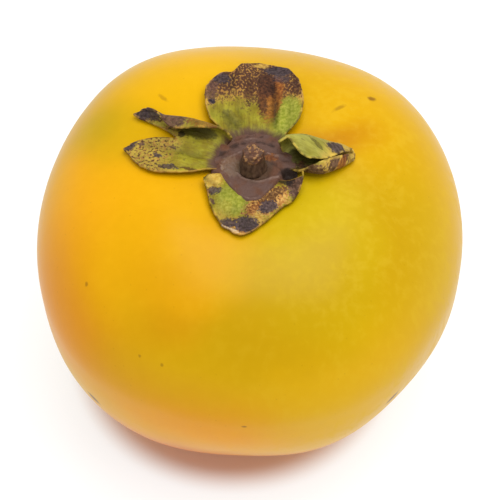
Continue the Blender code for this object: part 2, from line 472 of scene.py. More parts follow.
@dataclass(frozen=True)
class SkinShape:
    """The form of the skin: a superellipsoid about the middle of the equator, with broad swells."""

    radius: float = 38.8
    crown_height: float = 27.0
    crown_power: float = 2.05
    base_depth: float = 38.0
    base_power: float = 2.5
    equator_height: float = 37.0
    crown_sight: float = 25.0
    swells: tuple[Swell, ...] = (
        Swell(azimuth=40, elevation=32, spread=20, height=3.0),
        Swell(azimuth=129, elevation=32, spread=20, height=3.5),
        Swell(azimuth=220, elevation=32, spread=20, height=2.2),
        Swell(azimuth=305, elevation=32, spread=20, height=1.8),
        Swell(azimuth=-44, elevation=-28, spread=16, height=-1.8),
        Swell(azimuth=-94, elevation=-33, spread=16, height=-2.0),
        Swell(azimuth=-60, elevation=-12, spread=13, height=0.7),
        Swell(azimuth=-142, elevation=-5, spread=16, height=0.75),
        Swell(azimuth=-37, elevation=88, spread=18, height=-4.2),
    )

    @property
    def middle(self) -> Vector:
        """The middle of the equator."""
        return Vector((0, 0, self.equator_height))

    def point(self, towards: Vector) -> Vector:
        """The point of the skin along a direction from the middle of the equator.

        Args:
            towards: The direction, of any length.

        Returns:
            The point.
        """
        unit = towards.normalized()
        level = math.hypot(unit.x, unit.y)
        upper = unit.z > 0
        height = self.crown_height if upper else self.base_depth
        power = self.crown_power if upper else self.base_power
        reach = ((level / self.radius) ** power + (abs(unit.z) / height) ** power) ** (-1 / power)
        reach += sum(swell.at(unit) for swell in self.swells)
        return unit * reach + self.middle

    def crown(self, x: float, y: float) -> Vector:
        """The point of the crown near a place in plan, seen from the middle of the equator."""
        return self.point(Vector((x, y, self.crown_sight)))

    def over_crown(self, x: float, y: float, height: float) -> Vector:
        """A point over the crown.

        Args:
            x: Its place in plan along X.
            y: Its place in plan along Y.
            height: How high it is over the skin, measured square to it.

        Returns:
            The point.
        """
        step = 0.5
        point = self.crown(x, y)
        normal = (self.crown(x + step, y) - point).cross(self.crown(x, y + step) - point)
        return point + normal.normalized() * height


@dataclass(frozen=True)
class Patch:
    """A patch of another colour on the skin: an ellipsoid about a point of the skin.

    at is its azimuth and elevation. size is how far it reaches around the fruit and up it before it is
    turned aslant, and depth is how far it reaches in. edge is where it starts to fade and where it ends,
    as shares of that reach.
    """

    at: Place
    size: Place
    colour: Colour
    strength: float = 1.0
    turn: float = 0.0
    depth: float = 30.0
    edge: Place = (0.1, 1.05)

    def over(self, colour: Value | Colour, place: Value, shape: SkinShape) -> Value:
        """Lays the patch over a colour.

        Args:
            colour: The colour under it.
            place: The place on the fruit, in millimetres.
            shape: The skin's form.

        Returns:
            The colour with the patch.
        """
        centre, turn = shape.point(direction(*self.at)), (self.turn, 0, self.at[0])
        away = place.graph.length(place.graph.placed(place, centre, (self.depth, *self.size), turn))
        return place.graph.mix((1 - away.step(*self.edge)) * self.strength, colour, self.colour)


def scar(at: Place, size: Place, turn: float, strength: float) -> Patch:
    """A small brown mark in the skin, turned aslant."""
    return Patch(at, size, tint(96, 50, 12), strength, turn, depth=3.0, edge=(0.35, 1.15))


@dataclass(frozen=True)
class SkinFinish:
    """The waxy skin: golden, with orange and olive clouds, a pale bloom and small brown marks.

    Its colour is painted lighter towards the foot as painted light for the underside. A few clouds are a
    painted highlight on the front slope, with narrow bands of painted shade under it, and two are painted
    shade along the lower rim.
    """

    ground: Colour = tint(185, 143, 1)
    bloom: Colour = tint(203, 176, 49)
    pit: Colour = tint(134, 96, 2)
    pit_strength: float = 0.16
    # Painted light: the skin's colour is made lighter towards the foot, where less light reaches it.
    painted_light_at_foot: float = 1.59
    painted_light_lost_per_mm: float = 0.0096
    clouds: tuple[Patch, ...] = (
        Patch((-170, 35), (28, 24), tint(213, 150, 0)),
        Patch((-152, 10), (26, 20), tint(198, 128, 1)),
        Patch((-140, 46), (17, 12), tint(204, 149, 0), strength=0.8),
        Patch((125, 50), (28, 14), tint(207, 157, 0), strength=0.95),
        Patch((-88, 33), (24, 11), tint(172, 134, 0)),
        Patch((-104, -4), (30, 15), tint(200, 134, 3)),
        Patch((-116, 32), (9, 8), tint(183, 128, 0), strength=0.7),
        Patch((-64, 4), (24, 14), tint(195, 151, 4), strength=0.9),
        Patch((-52, 46), (20, 15), tint(176, 147, 2), strength=0.9),
        Patch((-20, 28), (20, 20), tint(176, 141, 2), strength=0.9),
        Patch((42, 48), (20, 14), tint(195, 148, 2), strength=0.9),
        # Painted highlight: a pale patch on the front slope below the calyx.
        Patch((-113, 53), (11, 6), tint(214, 166, 8), strength=0.45),
        Patch((157, 34), (9, 8), tint(172, 141, 0), strength=0.8),
        Patch((-30, 36), (16, 12), tint(172, 134, 1), strength=0.7),
        Patch((22, 60), (5, 4), tint(172, 109, 1), strength=0.7),
        Patch((90, 6), (26, 16), tint(192, 140, 2), strength=0.7),
        Patch((140, -14), (26, 18), tint(196, 136, 1), strength=0.6),
        Patch((30, -16), (26, 14), tint(190, 147, 6), strength=0.8),
        # Painted shade: deeper, darker orange along the lower rim and the underside.
        Patch((-112, -36), (32, 17), tint(192, 114, 0)),
        Patch((-98, -40), (46, 15), tint(166, 88, 0)),
        # Painted highlight on the front slope, then two narrow bands of painted shade under it that sharpen
        # its lower edge.
        Patch((-42, 53), (14, 7), tint(184, 159, 10), strength=0.8),
        Patch((-60, 38), (17, 5.5), tint(170, 137, 1), strength=0.8),
        Patch((-120, 42), (14, 4.5), tint(192, 137, 0), strength=0.8),
        Patch((-60, -34), (24, 12), tint(194, 132, 2), strength=0.8),
    )
    scars: tuple[Patch, ...] = (
        scar((-48.0, -10.2), (1.9, 1.1), turn=30, strength=0.9),
        scar((-137.0, -15.2), (1.9, 1.3), turn=-32, strength=0.85),
        scar((37.5, 38.6), (0.8, 0.45), turn=15, strength=0.7),
        scar((39.2, 49.8), (0.5, 0.4), turn=0, strength=0.4),
        scar((135.7, 48.5), (0.5, 0.35), turn=30, strength=0.35),
        scar((-146.6, 25.2), (0.45, 0.4), turn=0, strength=0.5),
        scar((-115, 18.3), (0.35, 0.35), turn=0, strength=0.45),
        scar((-121.7, 18.4), (0.35, 0.35), turn=0, strength=0.45),
        scar((-91.5, 1), (0.6, 0.4), turn=0, strength=0.6),
        scar((75, 12), (1.3, 0.5), turn=20, strength=0.6),
        scar((118, -20), (0.8, 0.4), turn=-35, strength=0.6),
        scar((172, -6), (0.5, 0.5), turn=0, strength=0.5),
        scar((10, -12), (0.7, 0.4), turn=-20, strength=0.5),
    )

    def material(self, shape: SkinShape) -> bpy.types.Material:
        """The skin's material.

        Args:
            shape: The skin's form, which places the clouds and scars.

        Returns:
            The material.
        """
        graph = Graph("fruit_skin")
        place = graph.objects_own()
        drifting = graph.warped(place, size=16.0, amount=3.5)
        colour: Value | Colour = self.ground
        for cloud in self.clouds:
            colour = cloud.over(colour, drifting, shape)

        mottle = graph.noise(place, size=2.0, detail=5.0, roughness=0.6)
        broad = graph.noise(place, size=9.0, detail=2.0)
        upright = graph.stretched(graph.warped(place, size=9.0, amount=2.5), (1.0, 1.0, 0.22))
        streaks = graph.noise(upright, size=1.5, detail=4.0, roughness=0.55)
        varied = 0.93 + 0.05 * streaks + 0.05 * mottle + 0.04 * broad
        # Painted light: lighter towards the foot, in place of the light that the underside lacks.
        painted_light_towards_foot = self.painted_light_at_foot - self.painted_light_lost_per_mm * graph.part(place, "Z")
        colour = graph.scaled(colour, varied * painted_light_towards_foot)

        waxy = graph.part(place, "X").step(-16.0, 24.0)
        film = (0.6 * streaks + 0.4 * mottle + 0.35 * (broad - 0.5)).step(0.47, 0.66)
        bloom = film * (0.02 + 0.1 * waxy)
        colour = graph.mix(bloom, colour, self.bloom)
        pits = graph.dots(place, spacing=1.5, radius=0.2, share=0.3)
        colour = graph.mix(pits * self.pit_strength, colour, self.pit)

        ragged = graph.warped(place, size=0.7, amount=0.2)
        for mark in self.scars:
            colour = mark.over(colour, ragged, shape)

        fine = graph.noise(place, size=0.5, detail=3.0)
        normal = graph.bumped(0.3 * fine + 0.7 * mottle, depth=0.02)
        roughness = 0.3 + 0.06 * (mottle - 0.5) + 0.9 * bloom
        return graph.shade(
            {"Base Color": colour, "Roughness": roughness, "Normal": normal},
            {"Specular IOR Level": 0.09},
        )


@dataclass(frozen=True)
class Fruit:
    """The fruit itself: one body of flesh and skin, standing on its blossom end."""

    shape: SkinShape = SkinShape()
    finish: SkinFinish = SkinFinish()
    divisions: int = 80
    foot_softness: float = 0.3
    dimple_radius: float = 3.4
    dimple_depth: float = 1.1
    waves: tuple[tuple[float, float], ...] = ((22.0, 0.22), (9.0, 0.07), (3.5, 0.018))

    def settled(self, point: Vector) -> Vector:
        """Gives a point of the skin its waves, its flat foot and the dimple of the blossom end.

        Args:
            point: The point of the plain form.

        Returns:
            The point of the finished skin.
        """
        outward = (point - self.shape.middle).normalized()
        for size, height in self.waves:
            point = point + outward * height * roughly(*point, size)
        flattened = 0.5 * (point.z + math.hypot(point.z, self.foot_softness))
        away = math.hypot(point.x, point.y) / self.dimple_radius
        if point.z < self.shape.equator_height / 2:
            flattened += self.dimple_depth * math.exp(-(away**2))
        return Vector((point.x, point.y, flattened))

    def build(self) -> bpy.types.Object:
        """Builds and dresses the fruit: a finely divided cube, blown up to the skin.

        Returns:
            The finished piece.
        """
        mould = Mould("fruit_fine", slot="fruit_skin", replaces="fruit")
        bm = mould.bm
        bmesh.ops.create_cube(bm, size=2.0)
        bmesh.ops.subdivide_edges(bm, edges=bm.edges, cuts=self.divisions - 1, use_grid_fill=True)
        for vert in bm.verts:
            even = Vector([math.tan(part * math.pi / 4) for part in vert.co])
            vert.co = self.settled(self.shape.point(even))
        return mould.finish(self.finish.material(self.shape))


# ------------------------------------------------------------
# Marks and folds of the calyx
# ------------------------------------------------------------


class Stain(Enum):
    """The colours of the marks on the dried calyx, each as its deeper and its paler tone.

    SHADE and the near-black tone are not marks but painted shade, for hollows, cavities and the insides of
    rolled margins.
    """

    # Painted shade, near black, for the deepest hollows.
    PAINTED_DEEP_SHADE = (lit(24, 17, 12), lit(44, 30, 22))
    SLATE = (lit(46, 34, 40), lit(98, 80, 82))
    PLUM = (lit(76, 46, 40), lit(132, 94, 78))
    UMBER = (lit(56, 28, 14), lit(106, 62, 36))
    RUST = (lit(126, 62, 18), lit(190, 116, 44))
    TAN = (lit(186, 118, 50), lit(236, 184, 100))
    STRAW = (lit(200, 152, 56), lit(236, 196, 96))
    BONE = (lit(214, 176, 126), lit(244, 224, 190))
    LEMON = (lit(188, 164, 44), lit(222, 204, 84))
    LIME = (lit(142, 153, 34), lit(188, 188, 74))
    MOSS = (lit(88, 84, 22), lit(134, 122, 42))
    SHADE = (lit(36, 30, 8), lit(62, 54, 20))


@dataclass(frozen=True)
class Blotch:
    """A mark on a flat sheet, or a patch of painted shade or painted highlight there: an ellipse about a
    place (across, out), with a grainy edge.

    size is its half width and half length. A turned one is turned counter-clockwise.
    """

    stain: Stain
    at: Place
    size: Place
    turn: float = 0.0
    strength: float = 1.0
    grain: float = 0.5


@dataclass(frozen=True)
class Fold:
    """A ridge along a line of points, or a groove where the height is negative."""

    points: tuple[Place, ...]
    width: float
    height: float

    def at(self, x: float, y: float) -> float:
        """The ridge's height at a place.

        Args:
            x: Across the sheet.
            y: Out along it.

        Returns:
            The height.
        """
        nearest = math.inf
        for start, end in zip(self.points, self.points[1:]):
            run = (end[0] - start[0], end[1] - start[1])
            share = ((x - start[0]) * run[0] + (y - start[1]) * run[1]) / (run[0] ** 2 + run[1] ** 2)
            share = min(max(share, 0.0), 1.0)
            aside = (x - start[0] - share * run[0], y - start[1] - share * run[1])
            nearest = min(nearest, aside[0] ** 2 + aside[1] ** 2)
        return self.height * math.exp(-nearest / self.width**2)


def with_marks_and_painted_light(graph: Graph, colour: Value, sheet: Value, grain: Value, marks_and_painted_light: tuple) -> Value:
    """Lays marks, and patches of painted shade and painted highlight, over a colour.

    Args:
        graph: The material's nodes.
        colour: The colour under the marks.
        sheet: The place on the flat sheet that the marks are placed on.
        grain: The noise that makes their edges grainy.
        marks_and_painted_light: The marks and the patches of painted shade and highlight, from the lowest to
            the topmost.

    Returns:
        The colour with its marks.
    """
    worn = graph.warped(sheet, size=1.1, amount=0.5)
    tone = graph.noise(sheet, size=0.55, detail=3.0, roughness=0.6).step(0.34, 0.68)
    for blotch in marks_and_painted_light:
        placed = graph.placed(worn, Vector((*blotch.at, 0)), (*blotch.size, 1.0), (0, 0, blotch.turn))
        inside = 1 - graph.length(placed) + (grain - 0.5) * (2.4 * blotch.grain)
        mottled = graph.mix(tone, *blotch.stain.value)
        colour = graph.mix(inside.step(-0.16, 0.2) * blotch.strength, colour, mottled)
    return colour


# ------------------------------------------------------------
# The calyx's disc and the stem's stub
# ------------------------------------------------------------


@dataclass(frozen=True)
class LeatherFinish:
    """The dried middle of the calyx: plum brown, with a rusty patch. Its ridges are painted paler, a painted
    highlight, and its creases darker, painted shade.
    """

    ground: Colour = lit(120, 90, 79)
    warm: Colour = lit(122, 82, 62)
    # dark is painted shade for the creases, and pale a painted highlight for the ridges.
    dark: Colour = lit(52, 36, 28)
    pale: Colour = lit(160, 130, 116)
    green: Colour = lit(86, 68, 44)
    green_strength: float = 0.55
    painted_highlight_strength: float = 0.75
    painted_shade_strength: float = 0.7
    hollow_radius: float = 3.9
    hollow_blur: float = 1.4
    grain_depth: float = 0.24
    marks_and_painted_light: tuple[Blotch, ...] = (
        Blotch(Stain.TAN, (4.2, -5.6), (3.4, 1.3), turn=42, strength=0.9, grain=1.0),
        Blotch(Stain.LIME, (-4.6, -5.6), (2.8, 1.0), turn=-45, strength=0.8, grain=0.3),
        Blotch(Stain.RUST, (3.1, 2.0), (1.3, 0.8), turn=-14, strength=0.6, grain=0.3),
        Blotch(Stain.RUST, (-5.0, 4.6), (0.9, 1.2), turn=-40, strength=0.14, grain=0.6),
        # Painted shade: a near-black patch in the hollow at the right.
        Blotch(Stain.PAINTED_DEEP_SHADE, (6.3, -1.4), (1.6, 1.2), turn=-14, strength=0.95, grain=0.15),
        # Painted highlight: a small pale glint at the collar's left end.
        Blotch(Stain.BONE, (-5.8, -0.2), (0.25, 0.6), turn=14, strength=0.3, grain=0.8),
        Blotch(Stain.BONE, (-4.1, 0.2), (1.7, 2.2), turn=20, strength=0.14, grain=0.5),
    )

    def material(self) -> bpy.types.Material:
        """The disc's material.

        Returns:
            The material.
        """
        graph = Graph("calyx_leather")
        sheet = graph.attribute("sheet", "Vector")
        ridge = graph.attribute("ridge", "Fac")
        broad = graph.noise(sheet, size=2.6, detail=3.0)
        fine = graph.noise(sheet, size=0.5, detail=4.0, roughness=0.6)
        grain = graph.noise(sheet, size=0.42, detail=2.0, roughness=0.6)
        colour = graph.mix(broad.step(0.4, 0.62), self.ground, self.warm)
        away = graph.length(sheet) + broad - 0.5
        hollow = 1 - away.step(self.hollow_radius - self.hollow_blur, self.hollow_radius)
        colour = graph.mix(hollow * self.green_strength, colour, self.green)
        colour = with_marks_and_painted_light(graph, colour, sheet, grain, self.marks_and_painted_light)
        # Painted highlight on the ridges and painted shade in the creases, following the relief.
        painted_ridge_highlight = (0.6 * fine + 1.6 * ridge).step(0.42, 0.8)
        colour = graph.mix(painted_ridge_highlight * self.painted_highlight_strength, colour, self.pale)
        sunk = 1 - (0.5 * fine + 1.6 * ridge).step(-0.15, 0.22)
        colour = graph.mix(sunk * self.painted_shade_strength, colour, self.dark)
        normal = graph.bumped(fine, depth=self.grain_depth)
        return graph.shade(
            {"Base Color": colour, "Roughness": 0.56 - 0.3 * ridge.highest(0.0), "Normal": normal},
            {"Specular IOR Level": 0.14},
        )


@dataclass(frozen=True)
class Disc:
    """The leathery middle of the calyx: a hollow round the stub, and a pointed tongue at the front."""

    stub_foot: float
    finish: LeatherFinish = LeatherFinish()
    centre: Place = CALYX_CENTRE
    below_stub_foot: float = 0.3
    steps: int = 192
    rings: int = 60
    outline_radius: float = 7.9
    corner_height: float = 0.25
    corner_azimuth: float = 50.0
    unevenness: float = 0.3
    rim_thickness: float = 0.35
    rim_droop: float = 0.3
    rim_width: float = 0.55
    under_slope: float = 0.7
    hub_radius: float = 3.0
    hub_chamfer: Place = (0.6, 0.4)
    depth: float = 1.9
    plateau: float = 0.36
    hollow_radius: float = 3.0
    hollow_unevenness: float = 0.5
    hollow_slope: float = 0.7
    crumple: float = 0.1
    wrinkle_height: float = 0.16
    lip_height: float = 0.11
    lip_inset: float = 0.3
    lip_width: float = 0.26
    tongue_fall: float = 0.75
    tongue_left: tuple[Place, Place] = ((-5.0, -3.2), (-0.790, -0.613))
    tongue_right: tuple[Place, Place] = ((2.15, -5.35), (0.810, -0.586))
    tongue_rounding: float = 3.9
    folds: tuple[Fold, ...] = (
        Fold(
            ((-2.9, -1.4), (-2.3, -2.2), (-1.4, -2.6), (0.4, -3.1), (2.4, -2.7), (4.2, -2.2)),
            width=0.36,
            height=0.26,
        ),
        Fold(
            ((-5.9, -0.5), (-5.8, 0.3), (-5.1, 1.5), (-4.3, 2.1), (-3.0, 2.8), (-1.9, 3.4)),
            width=0.3,
            height=0.2,
        ),
        Fold(((-4.2, 4.4), (-2.5, 5.0), (-0.4, 5.4), (1.7, 5.1), (3.4, 4.5)), width=0.26, height=-0.15),
        Fold(((-4.4, 5.0), (-2.4, 5.8), (0.4, 6.1), (2.6, 5.6)), width=0.3, height=0.12),
        Fold(((-3.4, 5.8), (-1.0, 6.6), (1.6, 6.4)), width=0.26, height=-0.12),
        Fold(((2.4, 2.9), (3.7, 2.3), (5.0, 2.2)), width=0.4, height=0.2),
        Fold(((2.9, 0.8), (4.2, 0.0), (5.2, -1.0)), width=0.4, height=-0.13),
        Fold(((-6.6, 2.6), (-4.8, 3.4), (-3.4, 4.2)), width=0.35, height=-0.12),
        Fold(((-6.9, -0.2), (-6.3, 1.2)), width=0.35, height=-0.12),
        Fold(((5.7, -1.2), (6.6, -1.6)), width=0.9, height=-0.7),
    )

    def outline(self, azimuth: float) -> float:
        """How far the disc reaches.

        Args:
            azimuth: Which way, in radians.

        Returns:
            The distance from its centre.
        """
        corners = self.corner_height * math.cos(4 * (azimuth - math.radians(self.corner_azimuth)))
        uneven = self.unevenness * roughly(3 * math.cos(azimuth), 3 * math.sin(azimuth), 5.0, 1.3)
        return self.outline_radius + corners + uneven

    def beyond_tongue(self, x: float, y: float) -> float:
        """How far a place lies outside the tongue's rounded edge.

        Args:
            x: Along X from the centre.
            y: Along Y from the centre.

        Returns:
            The distance, negative inside the edge.
        """
        sides = []
        for (start_x, start_y), (normal_x, normal_y) in (self.tongue_left, self.tongue_right):
            away = (x - start_x) * normal_x + (y - start_y) * normal_y
            sides.append(max(away + self.tongue_rounding, 0.0))
        return math.hypot(*sides) - self.tongue_rounding

    def relief(self, x: float, y: float) -> tuple[float, float]:
        """The relief at a place about the centre.

        Args:
            x: Along X.
            y: Along Y.

        Returns:
            The height over the hollow's floor, and the part of it that comes from folds and wrinkles.
        """
        radius, azimuth = math.hypot(x, y), math.atan2(y, x)
        beyond = self.beyond_tongue(x, y)
        front = ease(-y, 0.0, 2.0)
        uneven = roughly(math.cos(azimuth), math.sin(azimuth), 2.0, 0.7)
        hollow = self.hollow_radius + self.hollow_unevenness * uneven
        rise = self.plateau * ease(radius, hollow - self.hollow_slope, hollow + self.hollow_slope)
        lip = math.exp(-(((beyond + self.lip_inset) / self.lip_width) ** 2)) * (1 - ease(x, 2.6, 4.2))
        outer = ease(radius, 3.0, 5.0) * (1 - 0.8 * front)
        folds = sum(fold.at(x, y) for fold in self.folds) + self.lip_height * front * lip
        folds += self.wrinkle_height * outer * roughly(azimuth * 5.0, radius * 0.25, 0.0, 1.0)
        folds += self.crumple * roughly(x, y, 9.0, 0.9)
        fall = self.tongue_fall * front * ease(beyond, -0.1, 0.5)
        return rise + folds - fall, folds

    def profile(self) -> list[Place]:
        """The plain disc's outline, over its top and back under it to the middle.

        Returns:
            The points, as (radius, height).
        """
        edge, hub = self.outline_radius, self.hub_radius
        chamfer_in, chamfer_up = self.hub_chamfer
        top = [(edge * ring / self.rings, 0.0) for ring in range(self.rings + 1)]
        under = [(edge - 0.5, -self.rim_thickness), (hub, -self.depth + chamfer_up)]
        return [*top, *under, (hub - chamfer_in, -self.depth), (0.0, -self.depth)]

    def build(self) -> bpy.types.Object:
        """Builds and dresses the disc: a spun profile, then its outline and relief.

        Returns:
            The finished piece.
        """
        mould = Mould("calyx_disc_fine", slot="calyx_leather", replaces="calyx_disc")
        mould.turn(self.profile(), self.steps)
        middle = Vector((*self.centre, self.stub_foot - self.below_stub_foot))
        edge = self.outline_radius
        sheet, ridges = {}, {}
        for vert in mould.bm.verts:
            radius, azimuth = math.hypot(vert.co.x, vert.co.y), math.atan2(vert.co.y, vert.co.x)
            factor = 1 + (self.outline(azimuth) / edge - 1) * ease(radius, 0.0, edge)
            x, y = vert.co.x * factor, vert.co.y * factor
            height, ridges[vert] = self.relief(x, y)
            if vert.co.z < -0.01:
                height, ridges[vert] = -self.under_slope * ease(radius, self.hub_radius, edge - 1), 0.0
            else:
                drooping = ease(radius, edge - self.rim_width, edge) ** 2
                height -= (self.rim_droop + max(height, 0.0) * 0.6) * drooping
            sheet[vert] = Vector((x, y, 0))
            vert.co = middle + Vector((x, y, vert.co.z + height))
        mould.floats["ridge"] = ridges
        mould.vectors["sheet"] = sheet
        return mould.finish(self.finish.material())


@dataclass(frozen=True)
class WoodFinish:
    """The stub's dark wood, with pale corky grains on its end."""

    ground: Colour = lit(116, 86, 62)
    dark: Colour = lit(84, 58, 40)
    olive: Colour = lit(100, 78, 44)
    end: Colour = lit(118, 74, 52)
    grain: Colour = lit(200, 146, 86)
    olive_strength: float = 0.6
    end_strength: float = 0.85
    grain_strength: float = 0.75
    pit_strength: float = 0.6
    end_depth: Place = (0.7, 2.0)
    furrow_depth: float = 0.2

    def material(self, top: float) -> bpy.types.Material:
        """The stub's material.

        Args:
            top: The height of the stub's end.

        Returns:
            The material.
        """
        graph = Graph("stem_wood")
        place = graph.objects_own()
        upright = graph.stretched(place, (1.0, 1.0, 0.3))
        streaks = graph.noise(upright, size=0.5, detail=3.0)
        broad = graph.noise(place, size=1.4, detail=3.0)
        corky = graph.noise(place, size=0.55, detail=2.0, roughness=0.4)
        height = graph.part(place, "Z") + 1.2 * (broad - 0.5)
        shallow, deep = self.end_depth
        end = height.step(top - deep, top - shallow)
        colour = graph.mix(streaks.step(0.35, 0.65), self.dark, self.ground)
        colour = graph.mix(broad.step(0.48, 0.7) * self.olive_strength, colour, self.olive)
        colour = graph.mix(end * broad.step(0.3, 0.6) * self.end_strength, colour, self.end)
        grains = corky.step(0.52, 0.64) * end
        colour = graph.mix(grains * self.grain_strength, colour, self.grain)
        pits = (1 - corky.step(0.34, 0.45)) * end
        colour = graph.mix(pits * self.pit_strength, colour, self.dark)
        normal = graph.bumped(0.5 * streaks + corky * end, depth=self.furrow_depth)
        return graph.shade(
            {"Base Color": colour, "Roughness": 0.6 - 0.2 * grains, "Normal": normal},
            {"Specular IOR Level": 0.25},
        )


@dataclass(frozen=True)
class Stub:
    """The short end of the stem: a tapered peg with a knobbly end."""

    foot: float
    finish: WoodFinish = WoodFinish()
    centre: Place = (0.45, -0.6)
    base_radius: float = 2.3
    top_radius: float = 1.8
    height: float = 4.6
    buried: float = 0.6
    flare: float = 0.15
    flare_share: float = 0.25
    shoulder: float = 0.7
    shoulder_steps: int = 6
    rings: int = 22
    steps: int = 64
    lobes: tuple[tuple[int, float], ...] = ((3, 0.05), (5, 0.03))
    grain_height: float = 0.42
    grain_size: float = 0.7

    def profile(self) -> list[Place]:
        """The peg's outline, from the middle of its foot to the middle of its end.

        Returns:
            The points, as (radius, height).
        """
        points = [(0.0, -self.buried), (self.base_radius, -self.buried)]
        inner, straight = self.top_radius - self.shoulder, self.height - self.shoulder
        for ring in range(self.rings):
            share = ring / (self.rings - 1)
            flare = self.flare * (1 - ease(share, 0.0, self.flare_share))
            radius = self.base_radius + (self.top_radius - self.base_radius) * share + flare
            points.append((radius, share * straight))
        steps = range(1, self.shoulder_steps + 1)
        for turn in (math.radians(90 * step / self.shoulder_steps) for step in steps):
            points.append((inner + self.shoulder * math.cos(turn), straight + self.shoulder * math.sin(turn)))
        return points + [(inner * (1 - step / self.shoulder_steps), self.height) for step in steps]

    def build(self) -> bpy.types.Object:
        """Builds and dresses the stub: a spun profile, then its lobes and knobs.

        Returns:
            The finished piece.
        """
        mould = Mould("stem_stub_fine", slot="stem_wood", replaces="stem_stub")
        mould.turn(self.profile(), self.steps)
        for vert in mould.bm.verts:
            azimuth = math.atan2(vert.co.y, vert.co.x)
            swollen = 1 + sum(depth * math.cos(count * azimuth) for count, depth in self.lobes)
            swollen += 0.05 * roughly(*vert.co, 0.9)
            knob = self.grain_height * roughly(*vert.co, self.grain_size)
            end = ease(vert.co.z, self.height - 1.4, self.height - 0.4)
            outward = Vector((vert.co.x, vert.co.y, 1.5)).normalized()
            vert.co = Vector((vert.co.x * swollen, vert.co.y * swollen, vert.co.z))
            vert.co += outward * knob * end + Vector((*self.centre, self.foot))
        return mould.finish(self.finish.material(self.foot + self.height))


# ------------------------------------------------------------
# The sepals
# ------------------------------------------------------------


@dataclass(frozen=True)
class Side:
    """One half of a sepal: its width from base to far edge, where it starts to curl, and how tightly."""

    width: tuple[float, ...]
    flat: tuple[float, ...]
    radius: tuple[float, ...]


@dataclass(frozen=True)
class Fork:
    """A split in a sepal's far edge, from a row outwards, and how far each lobe swings aside.

    A bend over 1 keeps a lobe's inner edge near the split for longer, and one under 1 turns it away sooner.
    """

    row: float
    column: float
    left: float
    right: float
    left_bend: float
    right_bend: float


@dataclass(frozen=True)
class SepalFinish:
    """A dried sepal: green at its base, straw at its margins, specked and stained, with a painted highlight
    on its raised folds and painted shade in its grooves.
    """

    marks_and_painted_light: tuple[Blotch, ...]  # from the lowest to the topmost
    green: Colour = lit(152, 134, 26)
    bright: Colour = lit(176, 166, 40)
    straw: Colour = lit(210, 168, 66)
    tan: Colour = lit(178, 116, 62)
    brown: Colour = lit(86, 50, 36)
    plum: Colour = lit(108, 76, 62)
    rim: Colour = lit(210, 160, 66)
    char: Colour = lit(84, 48, 32)
    straw_from: float = 13.0
    straw_to: float = 17.0
    plum_to: float = 8.6
    speck_from: float = 11.0
    speck_to: float = 17.0
    speck_share: float = 0.5
    freckle_strength: float = 0.7
    rim_strength: float = 0.6
    char_strength: float = 0.55
    rim_width: float = 0.34
    painted_relief_light: float = 1.3
    vein_depth: float = 0.16

    def material(self, name: str) -> bpy.types.Material:
        """The sepal's material.

        Args:
            name: The material's name.

        Returns:
            The material.
        """
        graph = Graph(name)
        leaf = graph.attribute("leaf", "Vector")
        ridge = graph.attribute("ridge", "Fac")
        margin = graph.attribute("margin", "Fac")
        out = graph.part(leaf, "Y")
        lengthwise = graph.stretched(leaf, (1.0, 0.16, 1.0))
        veins = graph.noise(lengthwise, size=0.45, detail=3.0)
        clouds = graph.noise(leaf, size=2.2, detail=3.0)
        grain = graph.noise(leaf, size=0.42, detail=2.0, roughness=0.6)
        mottle = graph.noise(leaf, size=0.75, detail=4.0, roughness=0.65)
        dashes = graph.noise(graph.stretched(leaf, (1.0, 0.6, 1.0)), size=0.4, detail=3.0)

        colour = graph.mix((0.3 * veins + 0.9 * clouds).step(0.45, 0.75), self.green, self.bright)
        dried = out + 5.0 * (clouds - 0.5) + 2.0 * (veins - 0.5) - 2.2 * margin.step(0.0, 4.0) + 2.2
        colour = graph.mix(dried.step(self.straw_from, self.straw_to), colour, self.straw)
        colour = graph.scaled(colour, 0.72 + 0.24 * veins + 0.32 * mottle)

        specked = (out + 5.0 * (clouds - 0.5)).step(self.speck_from, self.speck_to)
        freckles = (mottle + (0.2 * self.speck_share) * specked).step(0.54, 0.68)
        colour = graph.mix(freckles * specked * self.freckle_strength, colour, self.tan)
        specks = (dashes + (0.2 * self.speck_share) * specked).step(0.59, 0.7)
        colour = graph.mix(specks * (0.4 + 0.55 * specked), colour, self.brown)
        colour = with_marks_and_painted_light(graph, colour, leaf, grain, self.marks_and_painted_light)

        radius = graph.length(leaf) + 0.8 * (veins - 0.5) + 1.8 * (clouds - 0.5)
        colour = graph.mix(1 - radius.step(self.plum_to - 0.9, self.plum_to + 0.8), colour, self.plum)
        edge = 1 - margin.step(0.05, self.rim_width)
        pale = clouds.step(0.44, 0.54)
        colour = graph.mix(edge * pale * self.rim_strength, colour, self.rim)
        colour = graph.mix(edge * (1 - pale) * self.char_strength, colour, self.char)
        # Painted light and shade: lighter where the sheet rises, darker where it sinks.
        colour = graph.scaled(colour, 1 + self.painted_relief_light * ridge)
        normal = graph.bumped(veins + 0.6 * grain, depth=self.vein_depth)
        return graph.shade(
            {"Base Color": colour, "Roughness": 0.62 - 0.14 * clouds, "Normal": normal},
            {"Specular IOR Level": 0.16},
        )


